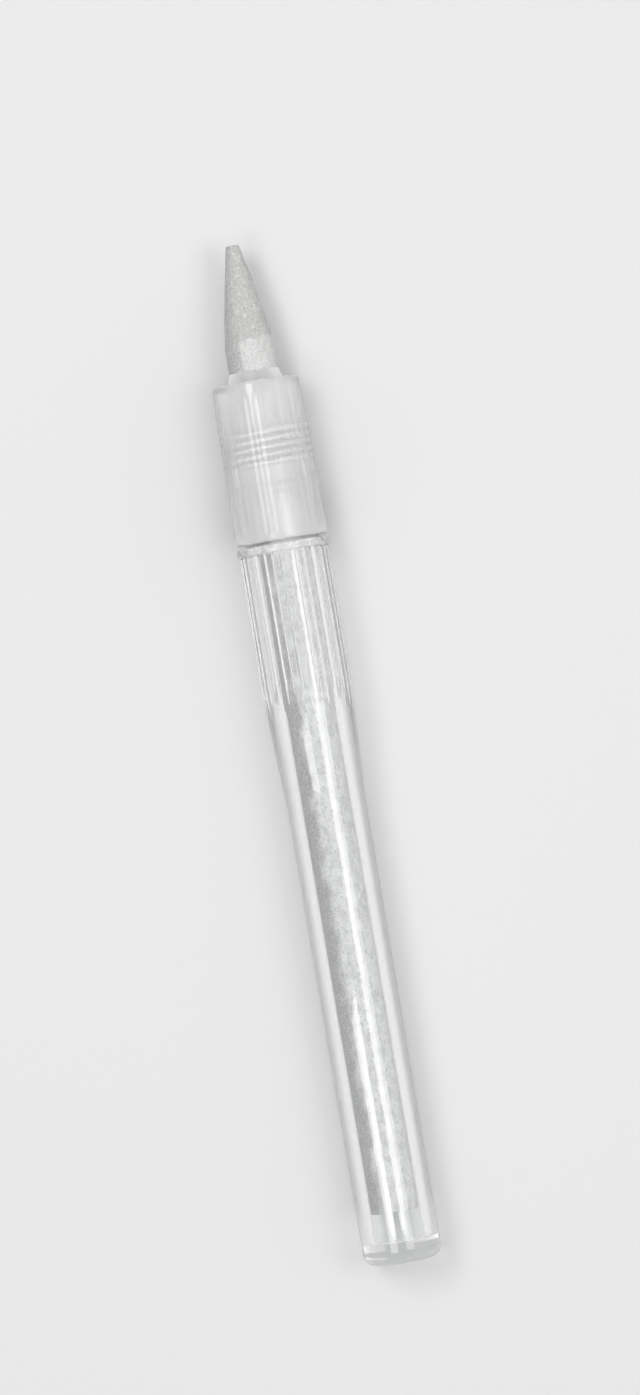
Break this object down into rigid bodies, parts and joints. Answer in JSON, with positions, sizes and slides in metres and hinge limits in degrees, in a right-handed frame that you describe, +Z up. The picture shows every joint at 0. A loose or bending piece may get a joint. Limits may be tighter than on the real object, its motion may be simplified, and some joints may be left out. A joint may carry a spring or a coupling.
{
  "type": "tailors chalk pencil",
  "caption": "Clear plastic holder with a screw-down collet nut that grips a round soapstone stick for marking cloth.",
  "frame": {"origin": "middle of the bounding box, on the surface that the pencil lies on", "axes": "+X along the pencil towards the stone's point, +Z up"},
  "size_m": [0.1336, 0.0122, 0.0122],
  "materials": {
    "clear_plastic": "water-clear, glossy moulded plastic",
    "frosted_plastic": "frosted, natural translucent plastic",
    "soapstone": "grey mottled soapstone, sawn and scraped, with a waxy dull sheen"
  },
  "bodies": {
    "barrel": {"barrel": "clear_plastic", "collet_body": "frosted_plastic"},
    "nut_lip": {"nut_lip": "frosted_plastic"},
    "clamp_nut": {"clamp_nut": "frosted_plastic"},
    "jaw_1": {"jaw_1": "frosted_plastic"},
    "jaw_2": {"jaw_2": "frosted_plastic"},
    "jaw_3": {"jaw_3": "frosted_plastic"},
    "jaw_4": {"jaw_4": "frosted_plastic"},
    "stick": {"soapstone_stick": "soapstone"}
  },
  "joints": [
    {"name": "nut_travel", "type": "slide", "parent": "barrel", "child": "nut_lip", "axis": [1, 0, 0], "range_m": [0, 0.005]},
    {"name": "nut_turn", "type": "hinge", "parent": "nut_lip", "child": "clamp_nut", "pos_m": [0.03815, 0, 0.0061], "axis": [1, 0, 0], "range_deg": [0, 1800]},
    {"name": "jaw_1_flex", "type": "hinge", "parent": "barrel", "child": "jaw_1", "pos_m": [0.04298, -0.0028, 0.00816], "axis": [0, -0.5934, -0.8049], "range_deg": [0, 1]},
    {"name": "jaw_2_flex", "type": "hinge", "parent": "barrel", "child": "jaw_2", "pos_m": [0.04298, -0.00206, 0.0033], "axis": [0, 0.8049, -0.5934], "range_deg": [0, 1]},
    {"name": "jaw_3_flex", "type": "hinge", "parent": "barrel", "child": "jaw_3", "pos_m": [0.04298, 0.0028, 0.00404], "axis": [0, 0.5934, 0.8049], "range_deg": [0, 1]},
    {"name": "jaw_4_flex", "type": "hinge", "parent": "barrel", "child": "jaw_4", "pos_m": [0.04298, 0.00206, 0.0089], "axis": [0, -0.8049, 0.5934], "range_deg": [0, 1]},
    {"name": "stick_feed", "type": "slide", "parent": "barrel", "child": "stick", "axis": [1, 0, 0], "range_m": [-0.0038, 0.112]}
  ],
  "couplings": [
    {"joint": "nut_turn", "follows": "nut_travel", "rad_per_m": 6283.2},
    {"joint": "jaw_1_flex", "follows": "nut_travel", "rad_per_m": 3.4907},
    {"joint": "jaw_2_flex", "follows": "nut_travel", "rad_per_m": 3.4907},
    {"joint": "jaw_3_flex", "follows": "nut_travel", "rad_per_m": 3.4907},
    {"joint": "jaw_4_flex", "follows": "nut_travel", "rad_per_m": 3.4907}
  ]
}
